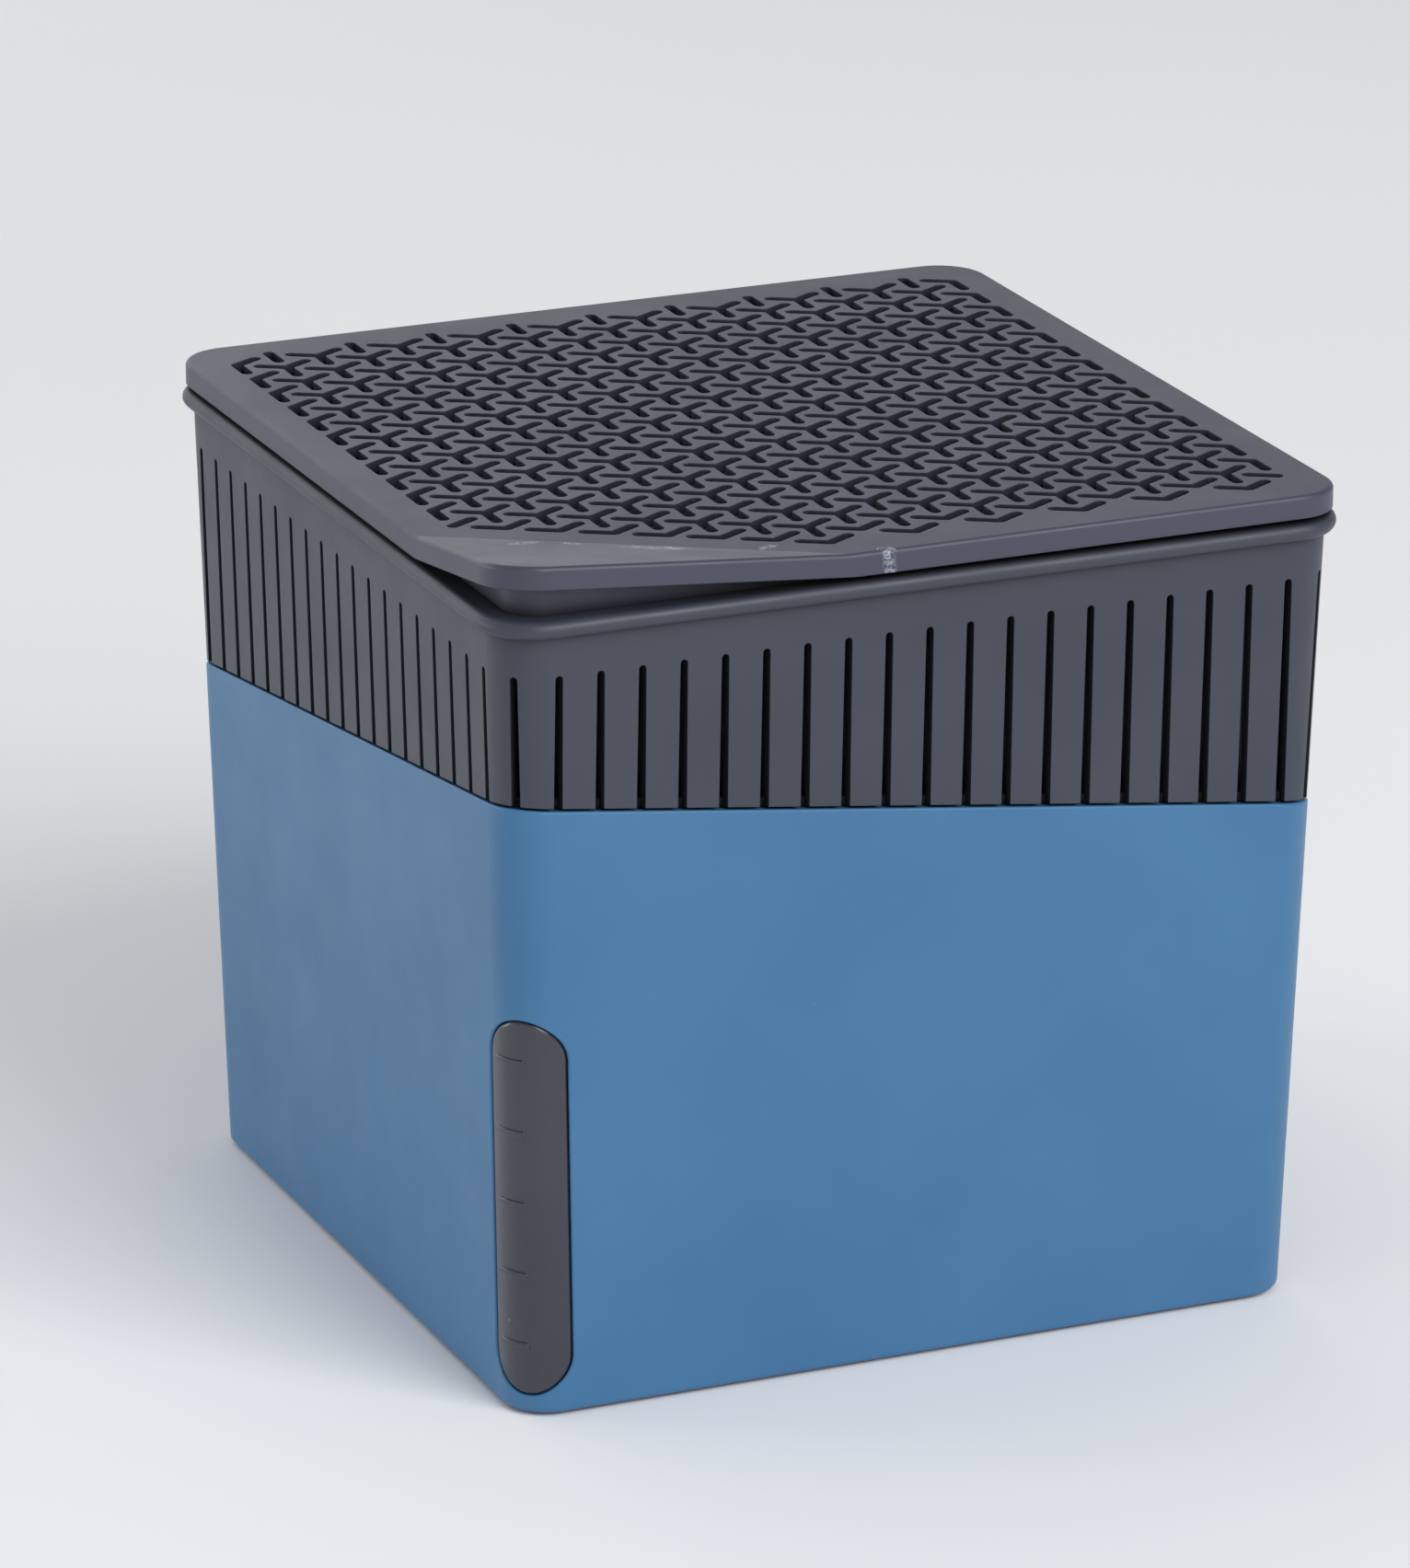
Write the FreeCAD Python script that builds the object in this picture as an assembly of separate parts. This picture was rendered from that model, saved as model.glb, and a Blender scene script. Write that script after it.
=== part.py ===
import FreeCAD, Part
import math
import os

from FreeCAD import Vector

# A passive moisture absorber in the form of a cube, in millimetres, +Z up.
# The origin is under the middle of the body, on the surface it stands on.
# The corner with the level window is at -X, -Y.

# ---- driving dimensions -------------------------------------------------
# body walls
BODY_WIDTH = 153.8          # across the flats at the height of the origin
DRAFT = 0.0258              # growth of the half width per mm of height
CORNER_RADIUS = 8.8
BASE_HEIGHT = 0.6           # underside of the shell above the ground
BASE_FILLET = 1.2
NUB_RADIUS = 6.0            # moulded feet under the shell
NUB_INSET = 17.0            # from the wall to a foot's centre
SHELL_WALL = 2.2
SHELL_FLOOR = 2.4
SHELL_EDGE = 0.4            # rounding of its upper edge and of the window's edge
# slanted parting line between shell and housing
PARTING_HEIGHT = 96.1       # at the middle
PARTING_FALL = 0.1265       # per mm along X and along Y
PARTING_GAP = 0.5
# level window, a slot with round ends wrapped around the near corner
WINDOW_BOTTOM = 3.9
WINDOW_TOP_DROP = 20.1      # top of the window below the parting line's middle
WINDOW_HALF_WIDTH = 7.1     # seen along the diagonal
WINDOW_END = 8.0            # height of each rounded end
WINDOW_CLEARANCE = 0.15
WINDOW_RECESS = 0.2         # face of the tank's boss behind the shell's face
WINDOW_EDGE = 0.9           # rounding of the boss
GRADUATION_FIRST = 13.6     # height of the lowest mark
GRADUATION_PITCH = 13.57
GRADUATION_MARGIN = 7.0     # kept free under the window's top
GRADUATION_LENGTH = 6.1
GRADUATION_WIDTH = 1.2
GRADUATION_RELIEF = 0.35
GRADUATION_EDGE = 0.2
# inner tank
TANK_GAP = 0.35
TANK_WALL = 1.8
TANK_FLOOR = 1.8
# vent housing
BAND_HEIGHT = 52.7          # from the parting line's middle to the bead's centre
HOUSING_INSET = 0.2         # band behind the shell's face
HOUSING_WALL = 2.4
SKIRT_DEPTH = 6.0           # how far it plugs into the shell
SKIRT_WALL = 1.8
SKIRT_CLEARANCE = 0.3
SHOULDER_HEIGHT = 1.4       # ring that ties the slats together
SHOULDER_RECESS = 2.0       # behind the face of the slats
SLOT_DROP = 8.8             # slot tops under the bead's centre
SLOT_WIDTH = 1.4            # at the top
SLOT_TAPER = 0.011          # added width per mm down the slot
SLOT_PITCH = 7.81
BEAD_RADIUS = 1.65
BEAD_PROUD = 1.85
MOUTH_LAND = 1.75           # flat rim inside the bead
MOUTH_LAND_DROP = 0.15      # under the bead's crest
MOUTH_RADIUS = 6.6
LEDGE_DROP = 5.4            # top of the ledge under the bead's centre
LEDGE_THICKNESS = 2.0
LEDGE_WIDTH = 4.0
# block tray, a basket hung from the ledge
TRAY_DROP = 14.1            # its underside below the parting line's middle
TRAY_GAP = 7.0              # between the housing's wall and the tray
TRAY_WALL = 1.6
TRAY_FLOOR = 2.0
TRAY_RADIUS = 5.0
FLANGE_THICKNESS = 1.6
FLANGE_CLEARANCE = 0.5
DRAIN_SIZE = 5.0
DRAIN_PITCH = 9.0
DRAIN_MARGIN = 5.0
TRAY_SLOT_WIDTH = 6.0
TRAY_SLOT_PITCH = 15.6
TRAY_SLOT_MARGIN = 9.0      # above the floor and below the flange
# refill
BAG_CLEARANCE = 5.0         # bag to tray wall
BAG_HEADROOM = 9.3          # bag to the level of the ledge
BAG_CLOTH = 1.0
BAG_EDGE = 11.0
BLOCK_CLEARANCE = 1.0
# lid
LID_RISE = 6.85             # top of the lid above the bead's centre
LID_OVERHANG = 1.05         # beyond the wall under it
LID_RADIUS = 9.5
LID_GAP = 1.0               # between the bead's crest and the lid's rim
LID_PLATE = 2.2
LID_RIM = 1.8
LID_TOP_FILLET = 0.8
LID_SKIRT_WALL = 1.6
LID_SKIRT_CLEARANCE = 0.3
FOLD_ALONG_FRONT = 66.8     # raised corner: where the fold meets the two edges
FOLD_ALONG_SIDE = 39.8
FOLD_RISE = 0.163           # rise per mm beyond the fold
FIELD_MARGIN = 7.85         # from the lid's edge to the outermost slot centres
FOLD_MARGIN = 5.2
STAR_ARM = 5.3
STAR_WIDTH = 2.25
STAR_COLUMN_PITCH = 8.16
STAR_ROW_PITCH = 9.844
# between any two pieces that rest on each other
SEAT_GAP = 0.2

# ---- derived places -----------------------------------------------------
WINDOW_TOP = PARTING_HEIGHT - WINDOW_TOP_DROP
TANK_BOTTOM = BASE_HEIGHT + SHELL_FLOOR + SEAT_GAP
TANK_INSET = SHELL_WALL + TANK_GAP
TANK_RIM_DROP = SKIRT_DEPTH + SEAT_GAP
BEAD_HEIGHT = PARTING_HEIGHT + BAND_HEIGHT
MOUTH_WALL = 2 * BEAD_RADIUS - BEAD_PROUD + MOUTH_LAND
MOUTH_TOP = BEAD_HEIGHT + BEAD_RADIUS - MOUTH_LAND_DROP
SLOT_TOP = BEAD_HEIGHT - SLOT_DROP
LEDGE_TOP = BEAD_HEIGHT - LEDGE_DROP
FLANGE_BOTTOM = LEDGE_TOP + SEAT_GAP
FLANGE_TOP = FLANGE_BOTTOM + FLANGE_THICKNESS
TRAY_BOTTOM = PARTING_HEIGHT - TRAY_DROP
TRAY_INSET = HOUSING_INSET + HOUSING_WALL + TRAY_GAP
BAG_BOTTOM = TRAY_BOTTOM + TRAY_FLOOR + SEAT_GAP
BAG_TOP = LEDGE_TOP - BAG_HEADROOM
LID_TOP = BEAD_HEIGHT + LID_RISE
LID_PLATE_BOTTOM = LID_TOP - LID_PLATE
LID_BOTTOM = BEAD_HEIGHT + BEAD_RADIUS + LID_GAP
TOUCH = 0.01                # how near counts as lying on a surface

UP = Vector(0, 0, 1)
ACROSS = Vector(1, -1, 0) / math.sqrt(2)     # along the window's width
OUTWARD = Vector(-1, -1, 0) / math.sqrt(2)   # out of the window's corner
SIDE_TURNS = (0, 90, 180, 270)
CORNER_TURNS = (45, 135, 225, 315)
ARM_HEADINGS = (30, 150, 270)
REACH = 200.0               # further than any edge of the body


def wall_half(z):
    return BODY_WIDTH / 2 + DRAFT * z


def corner_distance(z):
    """From the axis to the body's vertical corner, along the diagonal."""
    return (wall_half(z) - CORNER_RADIUS) * math.sqrt(2) + CORNER_RADIUS


MOUTH_HALF = wall_half(BEAD_HEIGHT) - MOUTH_WALL
LID_HALF = wall_half(BEAD_HEIGHT) + LID_OVERHANG
BEAD_LINE = wall_half(BEAD_HEIGHT) + BEAD_PROUD - BEAD_RADIUS
BEAD_LINE_RADIUS = CORNER_RADIUS + BEAD_PROUD - BEAD_RADIUS
BAG_HALF = wall_half(TRAY_BOTTOM) - TRAY_INSET - TRAY_WALL - BAG_CLEARANCE
SHELL_TOP = PARTING_HEIGHT + 2 * PARTING_FALL * wall_half(BEAD_HEIGHT)
SHELL_LOW_EDGE = PARTING_HEIGHT - 2 * PARTING_FALL * wall_half(BEAD_HEIGHT)


# ---- shared shapes ------------------------------------------------------
def rounded_square(half, radius, z):
    flat = half - radius
    edges = []
    for turn in SIDE_TURNS:
        side = Part.LineSegment(Vector(half, -flat, z), Vector(half, flat, z)).toShape()
        corner = Part.makeCircle(radius, Vector(flat, flat, z), UP, 0, 90)
        for edge in (side, corner):
            edge.rotate(Vector(), UP, turn)
            edges.append(edge)
    return Part.Wire(edges)


def prism(half, radius, z_low, z_high):
    face = Part.Face(rounded_square(half, radius, z_low))
    return face.extrude(UP * (z_high - z_low))


def drafted_block(inset, z_low, z_high, radius=None):
    """A block whose faces lie a fixed distance inside the drafted walls."""
    if radius is None:
        radius = max(CORNER_RADIUS - inset, 0.5)
    wires = [rounded_square(wall_half(z) - inset, radius, z) for z in (z_low, z_high)]
    return Part.makeLoft(wires, True, True)


def ramp(profile, origin, heading):
    """A long solid whose (distance along heading, height) profile is swept level across it."""
    along = Vector(math.cos(heading), math.sin(heading), 0)
    across = Vector(-along.y, along.x, 0)
    points = [origin + along * t + UP * z - across * REACH for t, z in profile]
    face = Part.Face(Part.makePolygon(points + points[:1]))
    return face.extrude(across * (2 * REACH))


def below_parting(drop):
    """Everything lower than a plane that runs this far under the parting line."""
    fall = PARTING_FALL * math.sqrt(2)
    middle = PARTING_HEIGHT - drop
    profile = [(-REACH, -REACH), (REACH, -REACH), (REACH, middle - fall * REACH),
               (-REACH, middle + fall * REACH)]
    return ramp(profile, Vector(), math.radians(45))


def round_ended(start, end, width, normal):
    """A flat bar with half-round ends centred on start and end."""
    nose = (end - start).normalize() * (width / 2)
    side = normal.cross(nose)
    edges = [Part.LineSegment(start + side, end + side),
             Part.Arc(end + side, end + nose, end - side),
             Part.LineSegment(end - side, start - side),
             Part.Arc(start - side, start - nose, start + side)]
    return Part.Face(Part.Wire([edge.toShape() for edge in edges]))


def window_end(centre, side, tip):
    """Half an ellipse, from one side over the tip to the other side."""
    return Part.Ellipse(centre + tip, centre + side, centre).toShape(-math.pi / 2, math.pi / 2)


def window_face(margin):
    """The window in the upright plane square to the diagonal; margin shrinks it."""
    side = ACROSS * (WINDOW_HALF_WIDTH - margin)
    tip = UP * (WINDOW_END - margin)
    low = UP * (WINDOW_BOTTOM + WINDOW_END)
    high = UP * (WINDOW_TOP - WINDOW_END)
    edges = [window_end(low, side, tip * -1),
             Part.LineSegment(low + side, high + side).toShape(),
             window_end(high, side, tip),
             Part.LineSegment(high - side, low - side).toShape()]
    return Part.Face(Part.Wire(edges))


def run_outward(face, depth):
    """Sweep an upright face out of the window's corner, from this depth behind it."""
    moved = face.copy()
    moved.translate(OUTWARD * (corner_distance(0) - depth))
    return moved.extrude(OUTWARD * (depth + CORNER_RADIUS))


def centred_steps(length, pitch):
    """Evenly spaced places, centred on zero, that fit in a length."""
    count = int(length / pitch) + 1
    return [(i - (count - 1) / 2) * pitch for i in range(count)]


def depth_inside(point, half, radius):
    """How far a point lies inside a rounded square, level with it."""
    x = abs(point.x) - half + radius
    y = abs(point.y) - half + radius
    if min(x, y) > 0:
        return radius - math.hypot(x, y)
    return radius - max(x, y)


def depth_in_wall(point):
    return depth_inside(point, wall_half(point.z), CORNER_RADIUS)


def on_window_outline(point, margin):
    """Whether a point lies on the window's outline as it is seen along the diagonal."""
    middle = (WINDOW_BOTTOM + WINDOW_TOP) / 2
    beyond = max(abs(point.z - middle) - (WINDOW_TOP - WINDOW_BOTTOM) / 2 + WINDOW_END, 0)
    across = point.dot(ACROSS) / (WINDOW_HALF_WIDTH - margin)
    return abs(math.hypot(across, beyond / (WINDOW_END - margin)) - 1) < TOUCH


def edges_where(shape, holds):
    """The edges of a shape along which a condition holds for every point."""
    found = []
    for edge in shape.Edges:
        span = edge.LastParameter - edge.FirstParameter
        if all(holds(edge.valueAt(edge.FirstParameter + span * i / 4)) for i in range(5)):
            found.append(edge)
    return found


# ---- body that stands on the floor --------------------------------------
def is_shell_lip(point):
    """On the outer edge of the shell's slanted top, or on the window's edge."""
    if depth_in_wall(point) > TOUCH:
        return False
    parting = PARTING_HEIGHT - PARTING_FALL * (point.x + point.y)
    return abs(point.z - parting) < TOUCH or on_window_outline(point, 0)


def outer_shell():
    block = drafted_block(0, BASE_HEIGHT, SHELL_TOP)
    block = block.makeFillet(BASE_FILLET, edges_where(block, lambda p: p.z < BASE_HEIGHT + TOUCH))
    shell = block.cut(drafted_block(SHELL_WALL, BASE_HEIGHT + SHELL_FLOOR, SHELL_TOP + REACH / 10))
    shell = shell.common(below_parting(0))
    shell = shell.cut(run_outward(window_face(0), CORNER_RADIUS))
    shell = shell.makeFillet(SHELL_EDGE, edges_where(shell, is_shell_lip))
    reach = wall_half(BASE_HEIGHT) - NUB_INSET
    for x in (-reach, reach):
        for y in (-reach, reach):
            nub = Part.makeCylinder(NUB_RADIUS, BASE_HEIGHT + SHELL_FLOOR / 2, Vector(x, y, 0))
            shell = shell.fuse(nub)
    return shell.removeSplitter()


def is_boss_rim(point):
    """On the edge around the front of the window's boss."""
    in_front = depth_in_wall(point) < (WINDOW_RECESS + TANK_INSET) / 2
    return in_front and on_window_outline(point, WINDOW_CLEARANCE)


def window_boss():
    """The thickening of the tank that fills the shell's window."""
    boss = run_outward(window_face(WINDOW_CLEARANCE), TANK_INSET + CORNER_RADIUS)
    boss = boss.common(drafted_block(WINDOW_RECESS, 0, SHELL_TOP))
    return boss.makeFillet(WINDOW_EDGE, edges_where(boss, is_boss_rim))


def graduation_marks():
    """Raised bars on the boss, each from near its edge to its middle."""
    room = WINDOW_TOP - GRADUATION_MARGIN - GRADUATION_FIRST
    inset = WINDOW_RECESS - GRADUATION_RELIEF
    face_block = drafted_block(inset, 0, SHELL_TOP)
    marks = []
    for step in range(int(room / GRADUATION_PITCH) + 1):
        inner = UP * (GRADUATION_FIRST + step * GRADUATION_PITCH)
        outer = inner - ACROSS * (GRADUATION_LENGTH - GRADUATION_WIDTH)
        bar = run_outward(round_ended(outer, inner, GRADUATION_WIDTH, OUTWARD), SHELL_WALL)
        bar = bar.common(face_block)
        front = edges_where(bar, lambda point: depth_in_wall(point) < inset + TOUCH)
        marks.append(bar.makeFillet(GRADUATION_EDGE, front))
    return marks


def inner_tank():
    """The brine tank, with a hollow boss that fills the window and carries the marks."""
    body = drafted_block(TANK_INSET, TANK_BOTTOM, SHELL_TOP).fuse(window_boss())
    inside = TANK_BOTTOM + TANK_FLOOR
    body = body.cut(drafted_block(TANK_INSET + TANK_WALL, inside, SHELL_TOP + REACH / 10))
    pocket = run_outward(window_face(WINDOW_CLEARANCE + TANK_WALL), TANK_INSET + CORNER_RADIUS)
    body = body.cut(pocket.common(drafted_block(WINDOW_RECESS + TANK_WALL, inside, SHELL_TOP)))
    body = body.common(below_parting(TANK_RIM_DROP))
    return body.multiFuse(graduation_marks()).removeSplitter()


# ---- vent housing -------------------------------------------------------
def slot_face():
    """An upright slot, round at the top and a little wider below, in the plane X = 0."""
    radius = SLOT_WIDTH / 2
    shoulder = SLOT_TOP - radius
    low = SHELL_LOW_EDGE - SKIRT_DEPTH
    half_low = radius + SLOT_TAPER * (shoulder - low) / 2
    corners = [Vector(0, radius, shoulder), Vector(0, half_low, low),
               Vector(0, -half_low, low), Vector(0, -radius, shoulder)]
    edges = [Part.LineSegment(*corners[i:i + 2]).toShape() for i in range(3)]
    edges.append(Part.Arc(corners[3], Vector(0, 0, SLOT_TOP), corners[0]).toShape())
    return Part.Face(Part.Wire(edges))


def slot_tool(start, offset, turn):
    """A slot that runs outward from start, beside the middle of its wall or at a corner."""
    tool = slot_face().extrude(Vector(HOUSING_WALL + 2 * CORNER_RADIUS, 0, 0))
    tool.translate(Vector(start, offset, 0))
    tool.rotate(Vector(), UP, turn)
    return tool


def vent_slots():
    """Slots at one pitch along each side, and one more on each corner."""
    side = 2 * (wall_half(SLOT_TOP) - CORNER_RADIUS) + CORNER_RADIUS * math.pi / 2
    inner = wall_half(0) - HOUSING_WALL - CORNER_RADIUS / 2
    tools = []
    for turn in SIDE_TURNS:
        for place in centred_steps(side - 2 * SLOT_PITCH, SLOT_PITCH):
            tools.append(slot_tool(inner, place, turn))
    for turn in CORNER_TURNS:
        tools.append(slot_tool(corner_distance(0) - HOUSING_WALL - CORNER_RADIUS / 2, 0, turn))
    return tools


def rolled_rim():
    """The round bead around the mouth: four bars and four quarter bends."""
    flat = BEAD_LINE - BEAD_LINE_RADIUS
    pieces = []
    for turn in SIDE_TURNS:
        bar = Part.makeCylinder(BEAD_RADIUS, 2 * flat, Vector(BEAD_LINE, -flat, BEAD_HEIGHT),
                                Vector(0, 1, 0))
        bend = Part.makeTorus(BEAD_LINE_RADIUS, BEAD_RADIUS, Vector(flat, flat, BEAD_HEIGHT), UP,
                              -180, 180, 90)
        for piece in (bar, bend):
            piece.rotate(Vector(), UP, turn)
            pieces.append(piece)
    return pieces


def slatted_band():
    """The visible band with its mouth, the ledge inside it and the slots through it."""
    low = SHELL_LOW_EDGE - SKIRT_DEPTH
    inside = HOUSING_INSET + HOUSING_WALL
    ledge_bottom = LEDGE_TOP - LEDGE_THICKNESS
    band = drafted_block(HOUSING_INSET, low, BEAD_HEIGHT)
    band = band.fuse(prism(BEAD_LINE, BEAD_LINE_RADIUS, BEAD_HEIGHT, MOUTH_TOP))
    band = band.cut(drafted_block(inside, low, ledge_bottom))
    band = band.cut(drafted_block(inside + LEDGE_WIDTH, ledge_bottom, LEDGE_TOP))
    band = band.cut(prism(MOUTH_HALF, MOUTH_RADIUS, LEDGE_TOP, MOUTH_TOP))
    band = band.cut(below_parting(-PARTING_GAP))
    return band.cut(Part.makeCompound(vent_slots()))


def plug_skirt():
    """The ring behind the foot of the slats, and the skirt that plugs into the shell."""
    low = SHELL_LOW_EDGE - 2 * SKIRT_DEPTH
    outside = SHELL_WALL + SKIRT_CLEARANCE
    shoulder_top = below_parting(-PARTING_GAP - SHOULDER_HEIGHT)
    shoulder = drafted_block(HOUSING_INSET + SHOULDER_RECESS, low, SLOT_TOP)
    shoulder = shoulder.cut(below_parting(-PARTING_GAP)).common(shoulder_top)
    skirt = drafted_block(outside, low, SLOT_TOP)
    skirt = skirt.cut(below_parting(SKIRT_DEPTH)).common(shoulder_top)
    return shoulder.fuse(skirt).cut(drafted_block(outside + SKIRT_WALL, low, SLOT_TOP))


def vent_housing():
    return slatted_band().multiFuse([plug_skirt()] + rolled_rim()).removeSplitter()


# ---- block tray ---------------------------------------------------------
def drain_holes(inner_half):
    steps = centred_steps(2 * (inner_half - DRAIN_MARGIN) - DRAIN_SIZE, DRAIN_PITCH)
    half = DRAIN_SIZE / 2
    return [Part.makeBox(DRAIN_SIZE, DRAIN_SIZE, 3 * TRAY_FLOOR,
                         Vector(x - half, y - half, TRAY_BOTTOM - TRAY_FLOOR))
            for x in steps for y in steps]


def tray_side_slots(inner_half):
    low = TRAY_BOTTOM + TRAY_FLOOR + TRAY_SLOT_MARGIN
    high = LEDGE_TOP - TRAY_SLOT_MARGIN
    length = 2 * (inner_half - TRAY_RADIUS) - TRAY_SLOT_WIDTH
    tools = []
    for turn in SIDE_TURNS:
        for y in centred_steps(length, TRAY_SLOT_PITCH):
            tool = Part.makeBox(3 * TRAY_WALL + BAG_CLEARANCE, TRAY_SLOT_WIDTH, high - low,
                                Vector(inner_half - TRAY_WALL, y - TRAY_SLOT_WIDTH / 2, low))
            tool.rotate(Vector(), UP, turn)
            tools.append(tool)
    return tools


def block_tray():
    """The basket that holds the refill, with drain holes, side slots and a hanging flange."""
    body = drafted_block(TRAY_INSET, TRAY_BOTTOM, FLANGE_TOP, TRAY_RADIUS)
    flange_half = MOUTH_HALF - FLANGE_CLEARANCE
    body = body.fuse(prism(flange_half, MOUTH_RADIUS, FLANGE_BOTTOM, FLANGE_TOP))
    inner = TRAY_INSET + TRAY_WALL
    body = body.cut(drafted_block(inner, TRAY_BOTTOM + TRAY_FLOOR, FLANGE_TOP,
                                  TRAY_RADIUS - TRAY_WALL))
    inner_half = wall_half(TRAY_BOTTOM) - inner
    tools = drain_holes(inner_half) + tray_side_slots(inner_half)
    return body.cut(Part.makeCompound(tools)).removeSplitter()


# ---- refill -------------------------------------------------------------
def soft_box(half, z_low, z_high, edge):
    box = Part.makeBox(2 * half, 2 * half, z_high - z_low, Vector(-half, -half, z_low))
    return box.makeFillet(edge, box.Edges)


def refill_bag():
    outside = soft_box(BAG_HALF, BAG_BOTTOM, BAG_TOP, BAG_EDGE)
    return outside.cut(soft_box(BAG_HALF - BAG_CLOTH, BAG_BOTTOM + BAG_CLOTH, BAG_TOP - BAG_CLOTH,
                                BAG_EDGE - BAG_CLOTH))


def granulate_block():
    return soft_box(BAG_HALF - BAG_CLOTH - BLOCK_CLEARANCE, BAG_BOTTOM + BAG_CLOTH + SEAT_GAP,
                    BAG_TOP - BAG_CLOTH - BLOCK_CLEARANCE, BAG_EDGE - BAG_CLOTH - BLOCK_CLEARANCE)


# ---- lid ----------------------------------------------------------------
FOLD_POINT = Vector(-LID_HALF, FOLD_ALONG_SIDE - LID_HALF, 0)
FOLD_HEADING = math.atan2(-FOLD_ALONG_FRONT, -FOLD_ALONG_SIDE)
FOLD_FORWARD = Vector(math.cos(FOLD_HEADING), math.sin(FOLD_HEADING), 0)


def beyond_fold(point):
    """How far a point lies from the fold, towards the raised corner."""
    return (point - FOLD_POINT).dot(FOLD_FORWARD)


def under_fold(level):
    """Everything under a level surface that turns up beyond the fold."""
    profile = [(-2 * REACH, 0), (REACH, 0), (REACH, level + FOLD_RISE * REACH), (0, level),
               (-2 * REACH, level)]
    return ramp(profile, FOLD_POINT, FOLD_HEADING)


def in_field(point):
    """Whether a point lies in the perforated part of the lid."""
    outermost = LID_HALF - FIELD_MARGIN
    return max(abs(point.x), abs(point.y)) <= outermost and beyond_fold(point) <= -FOLD_MARGIN


def arm_tip(heading):
    angle = math.radians(heading)
    return Vector(math.cos(angle), math.sin(angle), 0) * STAR_ARM


def star_face(headings):
    """Up to three arms with round ends, joined at the origin."""
    arms = [round_ended(Vector(), arm_tip(heading), STAR_WIDTH, UP) for heading in headings]
    if len(arms) == 1:
        return arms[0]
    return arms[0].multiFuse(arms[1:]).removeSplitter().Faces[0]


def star_slots(z_low, z_high):
    """The lid's three-armed slots; an arm that would leave the field is left out."""
    columns = int((LID_HALF - FIELD_MARGIN) / STAR_COLUMN_PITCH)
    rows = int((LID_HALF - FIELD_MARGIN) / STAR_ROW_PITCH) + 1
    faces = {}
    tools = []
    for column in range(-columns, columns + 1):
        shift = (1 - column % 2) / 2
        for row in range(-rows, rows + 1):
            centre = Vector(column * STAR_COLUMN_PITCH, (row + shift) * STAR_ROW_PITCH, 0)
            arms = tuple(turn for turn in ARM_HEADINGS if in_field(centre + arm_tip(turn)))
            if not arms or not in_field(centre):
                continue
            if arms not in faces:
                faces[arms] = star_face(arms).extrude(UP * (z_high - z_low))
            tool = faces[arms].copy()
            tool.translate(centre + UP * z_low)
            tools.append(tool)
    return tools


def lid_skirt():
    """The ring under the lid that stands on the tray's flange, inside the housing's mouth."""
    half = MOUTH_HALF - LID_SKIRT_CLEARANCE
    radius = MOUTH_RADIUS - LID_SKIRT_CLEARANCE
    low = FLANGE_TOP + SEAT_GAP
    tall = LID_TOP + FOLD_RISE * REACH
    skirt = prism(half, radius, low, tall)
    skirt = skirt.cut(prism(half - LID_SKIRT_WALL, radius - LID_SKIRT_WALL, low, tall))
    return skirt.common(under_fold(LID_TOP - LID_PLATE / 2))


def is_lid_top_rim(point):
    on_side = depth_inside(point, LID_HALF, LID_RADIUS) < TOUCH
    return on_side and point.z > LID_TOP - TOUCH


def lid():
    low = LID_BOTTOM - LID_PLATE
    tall = LID_TOP + FOLD_RISE * REACH
    cap = prism(LID_HALF, LID_RADIUS, low, tall).common(under_fold(LID_TOP))
    cap = cap.makeFillet(LID_TOP_FILLET, edges_where(cap, is_lid_top_rim))
    cap = cap.cut(under_fold(LID_BOTTOM))
    hollow = prism(LID_HALF - LID_RIM, LID_RADIUS - LID_RIM, low, tall)
    cap = cap.cut(hollow.common(under_fold(LID_PLATE_BOTTOM)))
    cap = cap.fuse(lid_skirt())
    slots = star_slots(LID_PLATE_BOTTOM - LID_PLATE / 2, LID_TOP + LID_PLATE / 2)
    return cap.cut(Part.makeCompound(slots)).removeSplitter()


PARTS = {
    "outer_shell": outer_shell,
    "inner_tank": inner_tank,
    "vent_housing": vent_housing,
    "block_tray": block_tray,
    "refill_bag": refill_bag,
    "granulate_block": granulate_block,
    "lid": lid,
}

os.makedirs("parts", exist_ok=True)
for name, make in PARTS.items():
    shape = make().Solids[0]
    shape.exportStep(f"parts/{name}.step")
    print(name, "volume", round(shape.Volume))
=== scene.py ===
import math

import bmesh
import bpy
from mathutils import Matrix, Vector


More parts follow.
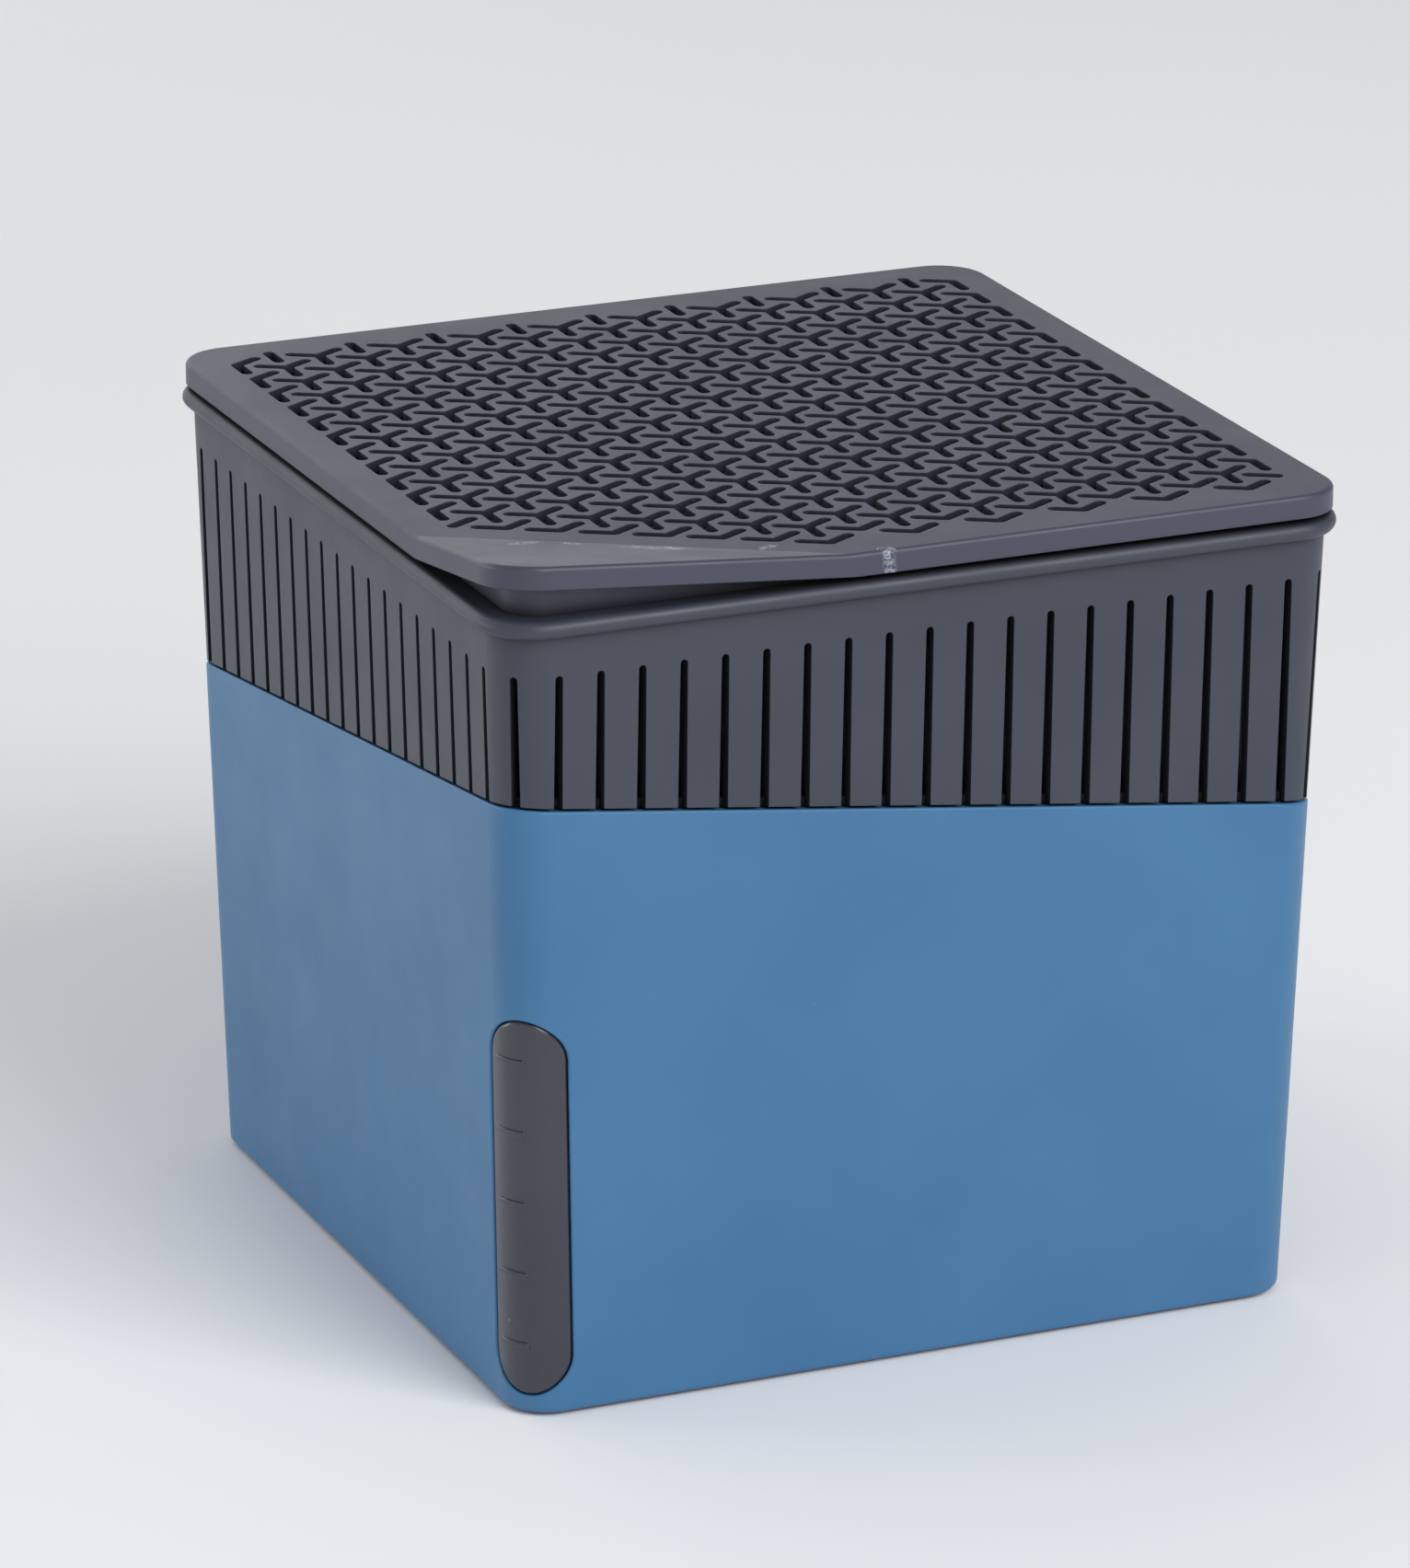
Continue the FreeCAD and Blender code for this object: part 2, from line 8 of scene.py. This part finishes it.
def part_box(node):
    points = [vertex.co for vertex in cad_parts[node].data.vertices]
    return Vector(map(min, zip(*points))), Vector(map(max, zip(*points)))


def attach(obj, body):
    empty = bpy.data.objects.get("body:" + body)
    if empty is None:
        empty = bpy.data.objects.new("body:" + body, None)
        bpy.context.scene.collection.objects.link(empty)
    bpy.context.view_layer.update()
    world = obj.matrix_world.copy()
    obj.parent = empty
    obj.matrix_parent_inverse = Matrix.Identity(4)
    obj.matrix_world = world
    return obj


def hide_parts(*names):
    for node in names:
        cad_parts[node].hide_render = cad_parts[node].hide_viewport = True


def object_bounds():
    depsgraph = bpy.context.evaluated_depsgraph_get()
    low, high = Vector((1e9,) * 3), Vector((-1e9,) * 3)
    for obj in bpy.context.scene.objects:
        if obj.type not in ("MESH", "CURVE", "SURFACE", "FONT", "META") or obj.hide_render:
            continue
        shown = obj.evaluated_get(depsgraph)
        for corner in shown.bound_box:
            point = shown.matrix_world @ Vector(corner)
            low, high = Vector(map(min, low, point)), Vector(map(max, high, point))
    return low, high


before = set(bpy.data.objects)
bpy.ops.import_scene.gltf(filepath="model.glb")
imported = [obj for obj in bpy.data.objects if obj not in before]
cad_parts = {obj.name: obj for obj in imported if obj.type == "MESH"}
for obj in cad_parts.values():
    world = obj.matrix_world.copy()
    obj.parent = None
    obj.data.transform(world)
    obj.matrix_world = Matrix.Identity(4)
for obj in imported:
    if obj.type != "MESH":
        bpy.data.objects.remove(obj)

cad_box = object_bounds()

MM = 0.001
BOX_LOW, BOX_HIGH = cad_box
MIDDLE = (BOX_LOW + BOX_HIGH) / 2
LID_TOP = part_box("lid")[1].z

# ---- camera -------------------------------------------------------------
AZIMUTH = math.radians(-23.446)
ELEVATION = math.radians(19.167)
ROLL = math.radians(0.165)
LENS = 198.6                      # mm, on a sensor 36 mm on its long side
DISTANCE = 1.60492
AIM_HEIGHT = 0.078
AIM_RIGHT = 7.386 * MM            # how far the object's axis stands right of the picture's middle
AIM_UP = -6.766 * MM

# ---- colours, as display values 0..255 ----------------------------------
BLUE = (58, 109, 151)
BLUE_LIGHT = (62, 114, 156)
GREY = (53, 58, 71)
GREY_LIGHT = (57, 62, 75)
LID_GREY = (58, 60, 77)
LID_GREY_LIGHT = (62, 64, 81)
SMOKE = (40, 41, 53)
SMOKE_LIGHT = (45, 46, 58)
TRAY = (18, 19, 22)
TRAY_LIGHT = (23, 24, 28)
CLOTH = (48, 51, 57)
CLOTH_THICK = (66, 70, 78)
CLOTH_WELD = (30, 32, 36)
SALT = (226, 228, 228)
SALT_SHADE = (190, 194, 196)
DUST = (170, 178, 190)
# painted shade: the near-black laid into slots, gaps and creases where light falls short
PAINTED_CREVICE_SHADE = (6, 7, 9)
FLOOR = (246, 247, 248)
FLOOR_CLOUD = (243, 244, 246)

# ---- moulded plastic ----------------------------------------------------
CLOUD_SIZE = 38 * MM              # of the faint clouds of tone
SMEAR_SIZE = 16 * MM              # of the patches that are glossier or duller
SWELL_SIZE = 14 * MM              # of the slight unevenness of the walls
SWELL_DEPTH = 0.04 * MM
GRAIN_SIZE = 0.22 * MM
GRAIN_DEPTH = 0.008 * MM
SPECK_SPACING = 11 * MM
SPECK_SIZE = 0.22 * MM
SPECK_SHARE = 0.16
SPECK_COVER = 0.35
PAINTED_SHADE_COVER = 0.95              # how far a closed gap takes the painted crevice shade
SCUFF_COVER = 0.8
SCUFF_REACH = 60 * MM             # half the height of a scuff's ellipsoid

# Rubbed marks on the lid: x, y, length and width in mm, heading in degrees.
SCUFFS = [(-66.5, -55.0, 8.0, 3.2, 10.0), (-58.5, -57.5, 4.0, 2.4, -35.0),
          (-46.0, -66.0, 16.0, 4.5, -27.0), (-27.5, -72.0, 5.0, 2.6, 12.0),
          (-9.0, -81.0, 2.6, 4.0, 60.0)]

# ---- cloth and salt -----------------------------------------------------
FIBRE_SIZE = 0.7 * MM
FIBRE_DEPTH = 0.08 * MM
WELD_SPACING = 1.8 * MM
WELD_DEPTH = 0.12 * MM
SALT_GRAIN = 3 * MM
SALT_DEPTH = 0.8 * MM


def linear(colour):
    """A display colour as the linear values that shaders take."""
    values = [(c / 255 + 0.055) / 1.055 for c in colour]
    return tuple(v ** 2.4 for v in values) + (1.0,)


# ---- node graphs --------------------------------------------------------
class Graph:
    """A material's node tree, with short ways to add and join nodes."""

    def __init__(self, name):
        self.material = bpy.data.materials.new(name)
        self.material.use_nodes = True
        self.tree = self.material.node_tree
        self.shader = self.tree.nodes["Principled BSDF"]
        self.place = self.node("ShaderNodeTexCoord").outputs["Object"]

    def node(self, kind, inputs=None, **settings):
        made = self.tree.nodes.new(kind)
        for key, value in settings.items():
            setattr(made, key, value)
        for key, value in (inputs or {}).items():
            self.put(made.inputs[key], value)
        return made

    def put(self, socket, value):
        if isinstance(value, bpy.types.NodeSocket):
            self.tree.links.new(value, socket)
        else:
            socket.default_value = value

    def noise(self, size, detail=2.0, roughness=0.5):
        """Noise whose features are about this size, from 0 to 1."""
        made = self.node("ShaderNodeTexNoise", {"Vector": self.place, "Scale": 1 / size,
                                                "Detail": detail, "Roughness": roughness})
        return made.outputs["Fac"]

    def remap(self, value, low, high, to_low=0.0, to_high=1.0):
        made = self.node("ShaderNodeMapRange", {"Value": value, "From Min": low, "From Max": high,
                                                "To Min": to_low, "To Max": to_high})
        return made.outputs["Result"]

    def math(self, operation, first, second=0.0):
        return self.node("ShaderNodeMath", {0: first, 1: second}, operation=operation).outputs[0]

    def blend(self, factor, first, second):
        made = self.node("ShaderNodeMix", data_type="RGBA")
        self.put(made.inputs[0], factor)
        self.put(made.inputs[6], first)
        self.put(made.inputs[7], second)
        return made.outputs[2]

    def crevices(self, reach):
        """1 where the surface lies open, falling towards 0 in gaps narrower than this reach."""
        made = self.node("ShaderNodeAmbientOcclusion", {"Distance": reach}, samples=6)
        return made.outputs["AO"]

    def rounded(self, radius):
        """Normals that turn smoothly over edges, as if they were rounded by this radius."""
        return self.node("ShaderNodeBevel", {"Radius": radius}, samples=6).outputs["Normal"]

    def bump(self, height, depth, below=None):
        """Normals of a relief of this depth, laid on those below it."""
        inputs = {"Height": height, "Distance": depth, "Strength": 1.0}
        if below is not None:
            inputs["Normal"] = below
        return self.node("ShaderNodeBump", inputs).outputs["Normal"]


def specks(graph, spacing, size, share):
    """Sparse round specks: one per cell of this spacing, in this share of the cells."""
    cells = graph.node("ShaderNodeTexVoronoi", {"Vector": graph.place, "Scale": 1 / spacing})
    near = graph.remap(cells.outputs["Distance"], size / spacing, 0.5 * size / spacing)
    red = graph.node("ShaderNodeSeparateColor", {"Color": cells.outputs["Color"]}).outputs[0]
    return graph.math("MULTIPLY", near, graph.math("LESS_THAN", red, share))


def moulded_plastic(name, colour, light_colour, roughness, edge, grain=GRAIN_SIZE,
                    grain_depth=GRAIN_DEPTH):
    """Injection-moulded plastic: faint clouds of tone, an eroded grain, a little dust."""
    graph = Graph(name)
    clouds = graph.remap(graph.noise(CLOUD_SIZE, 3.0), 0.35, 0.65)
    base = graph.blend(clouds, linear(colour), linear(light_colour))
    dust = specks(graph, SPECK_SPACING, SPECK_SIZE, SPECK_SHARE)
    base = graph.blend(graph.math("MULTIPLY", dust, SPECK_COVER), base, linear(DUST))
    graph.put(graph.shader.inputs["Base Color"], base)
    fine = graph.noise(grain, 3.0, 0.6)
    smear = graph.noise(SMEAR_SIZE, 4.0, 0.6)
    rough = graph.remap(smear, 0.3, 0.7, roughness - 0.04, roughness + 0.05)
    graph.put(graph.shader.inputs["Roughness"], rough)
    soft = graph.bump(graph.noise(SWELL_SIZE), SWELL_DEPTH, below=graph.rounded(edge))
    graph.put(graph.shader.inputs["Normal"], graph.bump(fine, grain_depth, below=soft))
    return graph


def paint_crevice_shade(graph, reach):
    """Paints shade into gaps narrower than this reach and makes them dull."""
    open_air = graph.remap(graph.crevices(reach), 0.45, 0.92)
    colour = graph.shader.inputs["Base Color"]
    base = colour.links[0].from_socket
    shade = graph.blend(PAINTED_SHADE_COVER, base, linear(PAINTED_CREVICE_SHADE))
    graph.put(colour, graph.blend(open_air, shade, base))
    roughness = graph.shader.inputs["Roughness"]
    dull = graph.remap(open_air, 0.0, 1.0, 0.95, 0.0)
    graph.put(roughness, graph.math("MAXIMUM", dull, roughness.links[0].from_socket))


def scuffed(graph, base):
    """The lid's colour with its pale rubbed marks."""
    total = None
    for x, y, length, width, heading in SCUFFS:
        patch = graph.node("ShaderNodeMapping", {
            "Vector": graph.place, "Location": (x * MM, y * MM, LID_TOP),
            "Rotation": (0, 0, math.radians(heading)),
            "Scale": (length / 2 * MM, width / 2 * MM, SCUFF_REACH)}, vector_type="TEXTURE")
        ball = graph.node("ShaderNodeTexGradient", {"Vector": patch.outputs[0]},
                          gradient_type="SPHERICAL").outputs["Fac"]
        total = ball if total is None else graph.math("MAXIMUM", total, ball)
    curls = graph.math("ABSOLUTE", graph.math("SUBTRACT", graph.noise(2.6 * MM), 0.5))
    lines = graph.remap(curls, 0.03, 0.008)
    streaks = graph.remap(graph.noise(0.8 * MM, 4.0, 0.7), 0.46, 0.6, 0.0, 0.6)
    worn = graph.math("MULTIPLY", graph.remap(total, 0.0, 0.35),
                      graph.math("MAXIMUM", lines, streaks))
    return graph.blend(graph.math("MULTIPLY", worn, SCUFF_COVER), base, linear(DUST))


def blue_plastic():
    graph = moulded_plastic("blue_plastic", BLUE, BLUE_LIGHT, 0.4, 0.3 * MM)
    graph.shader.inputs["Specular IOR Level"].default_value = 0.42
    return graph.material


def grey_plastic():
    graph = moulded_plastic("grey_plastic", GREY, GREY_LIGHT, 0.44, 0.2 * MM)
    graph.shader.inputs["Specular IOR Level"].default_value = 0.45
    # painted shade in the housing's slots and gaps
    paint_crevice_shade(graph, 5 * MM)
    return graph.material


def lid_plastic():
    graph = moulded_plastic("lid_plastic", LID_GREY, LID_GREY_LIGHT, 0.42, 0.35 * MM)
    colour = graph.shader.inputs["Base Color"].links[0].from_socket
    graph.put(graph.shader.inputs["Base Color"], scuffed(graph, colour))
    # painted shade in the lid's star slots and in its gap over the housing
    paint_crevice_shade(graph, 4 * MM)
    return graph.material


def smoked_plastic():
    graph = moulded_plastic("smoked_plastic", SMOKE, SMOKE_LIGHT, 0.3, 0.25 * MM, 0.9 * MM,
                            0.005 * MM)
    graph.shader.inputs["Coat Weight"].default_value = 0.5
    graph.shader.inputs["Coat Roughness"].default_value = 0.16
    return graph.material


def tray_plastic():
    graph = moulded_plastic("tray_plastic", TRAY, TRAY_LIGHT, 0.45, 0.3 * MM)
    # painted shade in the tray's corners and openings
    paint_crevice_shade(graph, 8 * MM)
    return graph.material


def salt_block():
    graph = Graph("salt_granulate")
    grains = graph.node("ShaderNodeTexVoronoi", {"Vector": graph.place, "Scale": 1 / SALT_GRAIN})
    tone = graph.remap(grains.outputs["Distance"], 0.0, 0.7)
    graph.put(graph.shader.inputs["Base Color"],
              graph.blend(tone, linear(SALT), linear(SALT_SHADE)))
    graph.put(graph.shader.inputs["Roughness"], graph.remap(tone, 0.0, 1.0, 0.45, 0.7))
    graph.put(graph.shader.inputs["Normal"], graph.bump(grains.outputs["Distance"], SALT_DEPTH))
    return graph.material


def bag_cloth():
    """Non-woven cloth: matted fibres with a grid of small welded dots."""
    graph = Graph("bag_cloth")
    fibres = graph.noise(FIBRE_SIZE, 6.0, 0.8)
    dots = graph.node("ShaderNodeTexVoronoi", {"Vector": graph.place, "Scale": 1 / WELD_SPACING,
                                               "Randomness": 0.0}).outputs["Distance"]
    weld = graph.remap(dots, 0.12, 0.2)
    colour = graph.blend(graph.remap(fibres, 0.35, 0.65), linear(CLOTH), linear(CLOTH_THICK))
    graph.put(graph.shader.inputs["Base Color"],
              graph.blend(graph.remap(weld, 0.0, 1.0, 0.35, 0.0), colour, linear(CLOTH_WELD)))
    graph.put(graph.shader.inputs["Roughness"], graph.remap(fibres, 0.3, 0.7, 0.72, 0.9))
    graph.shader.inputs["Sheen Weight"].default_value = 0.2
    pressed = graph.bump(weld, WELD_DEPTH)
    graph.put(graph.shader.inputs["Normal"], graph.bump(fibres, FIBRE_DEPTH, below=pressed))
    return graph.material


def floor_paper():
    graph = Graph("floor_paper")
    tone = graph.remap(graph.noise(0.4, 2.0), 0.3, 0.7)
    graph.put(graph.shader.inputs["Base Color"],
              graph.blend(tone, linear(FLOOR), linear(FLOOR_CLOUD)))
    graph.put(graph.shader.inputs["Roughness"], graph.remap(graph.noise(1.5 * MM), 0, 1, 0.75, 0.9))
    return graph.material


# ---- the refill's cloth pouch -------------------------------------------
POUCH_INSET = Vector((2, 2, 1)) * MM   # by which it starts smaller than the CAD bag
POUCH_ROUNDING = 9 * MM
VOXEL = 5 * MM
CLOTH_QUALITY = 6
CLOTH_SLACK = 0.06                # by which the cloth is larger than its starting shape
PRESSURE = 4.0
LAST_FRAME = 20
CLOTH_NEAREST = 1.2 * MM          # from the granulate to the cloth
CLOTH_FARTHEST = 3.6 * MM
CLOTH_BELOW = 1.0 * MM            # the same under the granulate, where the bag stands
DOWNWARD = 0.7                    # cosine from which a direction counts as under it
BLOCK_ROUNDING = 9 * MM
SEAM_WIDTH = 11 * MM
SEAM_THICKNESS = 0.5 * MM
SEAM_LIFT = 0.35 * MM             # of its middle over the cloth
SEAM_END = 14 * MM                # from the bag's side
SEAM_STEPS = 120
SEAM_ROWS = 4
SEAM_WAVE = 0.5 * MM              # it wanders sideways by this
SEAM_WAVE_TURN = 0.21             # radians a step
SEAM_CRIMP = 0.12 * MM
SEAM_SEARCH = 20 * MM             # the height over the bag from which the cloth is sought


def mesh_object(name, shape):
    mesh = bpy.data.meshes.new(name)
    shape.to_mesh(mesh)
    shape.free()
    made = bpy.data.objects.new(name, mesh)
    bpy.context.scene.collection.objects.link(made)
    return made


def apply_modifiers(piece):
    """Replaces the piece's mesh by what its modifiers make of it, and drops them."""
    seen = piece.evaluated_get(bpy.context.evaluated_depsgraph_get())
    piece.data = bpy.data.meshes.new_from_object(seen)
    piece.modifiers.clear()


def smooth(piece):
    for polygon in piece.data.polygons:
        polygon.use_smooth = True


def start_pouch():
    """A closed box with rounded edges, remeshed evenly, a little inside the CAD bag."""
    low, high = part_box("refill_bag")
    shape = bmesh.new()
    bmesh.ops.create_cube(shape, size=1.0)
    for vertex in shape.verts:
        vertex.co = (low + high) / 2 + vertex.co * (high - low - POUCH_INSET)
    bmesh.ops.bevel(shape, geom=shape.edges, offset=POUCH_ROUNDING, segments=4, profile=0.5,
                    affect="EDGES")
    pouch = mesh_object("refill_pouch", shape)
    remesh = pouch.modifiers.new("even", "REMESH")
    remesh.mode = "VOXEL"
    remesh.voxel_size = VOXEL
    apply_modifiers(pouch)
    return pouch


def inflate(pouch):
    """Cloth under a light pressure, without weight, so that the panels swell and crease."""
    cloth = pouch.modifiers.new("cloth", "CLOTH")
    cloth.settings.quality = CLOTH_QUALITY
    cloth.settings.use_pressure = True
    cloth.settings.uniform_pressure_force = PRESSURE
    cloth.settings.shrink_min = -CLOTH_SLACK
    cloth.settings.effector_weights.gravity = 0
    scene = bpy.context.scene
    cloth.point_cache.frame_start = 1
    cloth.point_cache.frame_end = LAST_FRAME
    for frame_number in range(1, LAST_FRAME + 1):
        scene.frame_set(frame_number)
    apply_modifiers(pouch)
    scene.frame_set(1)


def keep_over_block(pouch):
    """Holds the cloth outside the granulate, and no farther from it than the tray allows."""
    low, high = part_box("granulate_block")
    middle = (low + high) / 2
    core = (high - low) / 2 - Vector((1, 1, 1)) * BLOCK_ROUNDING
    for vertex in pouch.data.vertices:
        place = vertex.co - middle
        nearest = Vector([max(-c, min(c, p)) for p, c in zip(place, core)])
        away = place - nearest
        reach = away.length - BLOCK_ROUNDING
        farthest = CLOTH_BELOW if away.z < -DOWNWARD * away.length else CLOTH_FARTHEST
        kept = max(min(CLOTH_NEAREST, farthest), min(farthest, reach))
        vertex.co = middle + nearest + away.normalized() * (BLOCK_ROUNDING + kept)


def top_seam(pouch):
    """The pouch's welded seam: a crimped band that lies along the middle of its top."""
    low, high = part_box("refill_bag")
    half_length = (high.x - low.x) / 2 - SEAM_END
    shape = bmesh.new()
    grid = []
    for i in range(SEAM_STEPS + 1):
        x = (low.x + high.x) / 2 - half_length + 2 * half_length * i / SEAM_STEPS
        line = []
        for j in range(SEAM_ROWS + 1):
            wave = SEAM_WAVE * math.sin(i * SEAM_WAVE_TURN)
            y = SEAM_WIDTH * (j / SEAM_ROWS - 0.5) + wave
            start = Vector((x, y, high.z + SEAM_SEARCH))
            hit, place, _, _ = pouch.ray_cast(start, Vector((0, 0, -1)))
            crimp = SEAM_CRIMP * math.sin(i * math.pi / 2) if 0 < j < SEAM_ROWS else 0.0
            height = place.z if hit else high.z
            line.append(shape.verts.new((x, y, height + SEAM_LIFT + crimp)))
        grid.append(line)
    for i in range(SEAM_STEPS):
        for j in range(SEAM_ROWS):
            shape.faces.new((grid[i][j], grid[i + 1][j], grid[i + 1][j + 1], grid[i][j + 1]))
    seam = mesh_object("refill_pouch_seam", shape)
    solid = seam.modifiers.new("thickness", "SOLIDIFY")
    solid.thickness = SEAM_THICKNESS
    solid.offset = 0.0
    return seam


def refill_pouch(material):
    """The soft pouch and its seam, in place of the CAD bag."""
    pouch = start_pouch()
    inflate(pouch)
    keep_over_block(pouch)
    finer = pouch.modifiers.new("finer", "SUBSURF")
    finer.levels = 1
    finer.render_levels = 1
    apply_modifiers(pouch)
    keep_over_block(pouch)
    seam = top_seam(pouch)
    for piece in (pouch, seam):
        smooth(piece)
        piece.data.materials.append(material)
        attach(piece, "refill")
    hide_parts("refill_bag")


# ---- the CAD nodes' finish ----------------------------------------------
def finish_node(name, material):
    """Gives the CAD node this material; its shape stays as it is."""
    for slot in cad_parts[name].material_slots:
        slot.material = material


# ---- stage --------------------------------------------------------------
FLOOR_SIZE = 12
# The room's light along each axis: from the first place to the second, its strength goes from
# the third number to the fourth.
WORLD_RAMPS = [("X", 0.2, 0.95, 1.0, 0.4), ("Y", -0.2, 0.8, 0.75, 1.0),
               ("Z", 0.0, 0.25, 1.9, 0.66)]
WORLD_TINT = (0.985, 0.985, 1.0, 1.0)
# Area lights: name, place and size in metres, watts.
LIGHTS = [("key", (0.55, -1.5, 1.3), (1.2, 1.2), 26),
          ("corner_strip", (-1.3, 0.73, 0.35), (0.35, 0.7), 3.0),
          ("back_box", (-0.4, 1.6, 0.9), (2.0, 0.8), 4)]


def add_floor():
    bpy.ops.mesh.primitive_plane_add(size=FLOOR_SIZE, location=(0, 0, 0))
    floor = bpy.context.object
    floor.name = "floor"
    floor.data.materials.append(floor_paper())


def add_light(name, place, size, power):
    light = bpy.data.lights.new(name, "AREA")
    light.shape = "RECTANGLE"
    light.size, light.size_y = size
    light.energy = power
    lamp = bpy.data.objects.new(name, light)
    bpy.context.scene.collection.objects.link(lamp)
    lamp.location = place
    lamp.rotation_mode = "QUATERNION"
    lamp.rotation_quaternion = (MIDDLE - Vector(place)).to_track_quat("-Z", "Y")


def add_world():
    """A bright room: lightest low down and behind the object, dim towards +X."""
    world = bpy.data.worlds.new("studio")
    world.use_nodes = True
    tree = world.node_tree
    background = tree.nodes["Background"]
    heading = tree.nodes.new("ShaderNodeTexCoord")
    parts = tree.nodes.new("ShaderNodeSeparateXYZ")
    tree.links.new(heading.outputs["Generated"], parts.inputs[0])
    levels = []
    for axis, start, end, dim, bright in WORLD_RAMPS:
        ramp = tree.nodes.new("ShaderNodeMapRange")
        ramp.inputs["From Min"].default_value = start
        ramp.inputs["From Max"].default_value = end
        ramp.inputs["To Min"].default_value = dim
        ramp.inputs["To Max"].default_value = bright
        tree.links.new(parts.outputs[axis], ramp.inputs["Value"])
        levels.append(ramp.outputs["Result"])
    strength = levels[0]
    for level in levels[1:]:
        product = tree.nodes.new("ShaderNodeMath")
        product.operation = "MULTIPLY"
        tree.links.new(strength, product.inputs[0])
        tree.links.new(level, product.inputs[1])
        strength = product.outputs[0]
    tree.links.new(strength, background.inputs["Strength"])
    background.inputs["Color"].default_value = WORLD_TINT
    bpy.context.scene.world = world
    bpy.context.scene.view_settings.view_transform = "Standard"


def add_camera():
    """A long lens, aimed beside the object's axis and slightly rolled."""
    level = math.cos(ELEVATION)
    back = Vector((math.sin(AZIMUTH) * level, -math.cos(AZIMUTH) * level, math.sin(ELEVATION)))
    right = Vector((0, 0, 1)).cross(back).normalized()
    up = back.cross(right)
    tilted_right = right * math.cos(ROLL) + up * math.sin(ROLL)
    tilted_up = up * math.cos(ROLL) - right * math.sin(ROLL)
    data = bpy.data.cameras.new("camera")
    data.lens = LENS
    camera = bpy.data.objects.new("camera", data)
    bpy.context.scene.collection.objects.link(camera)
    place = Vector((0, 0, AIM_HEIGHT)) - tilted_right * AIM_RIGHT - tilted_up * AIM_UP
    turn = Matrix((tilted_right, tilted_up, back)).transposed().to_4x4()
    camera.matrix_world = Matrix.Translation(place + back * DISTANCE) @ turn
    bpy.context.scene.camera = camera


add_camera()
add_world()
add_floor()
for settings in LIGHTS:
    add_light(*settings)

finish_node("outer_shell", blue_plastic())
finish_node("inner_tank", smoked_plastic())
finish_node("vent_housing", grey_plastic())
finish_node("block_tray", tray_plastic())
finish_node("granulate_block", salt_block())
finish_node("lid", lid_plastic())
refill_pouch(bag_cloth())
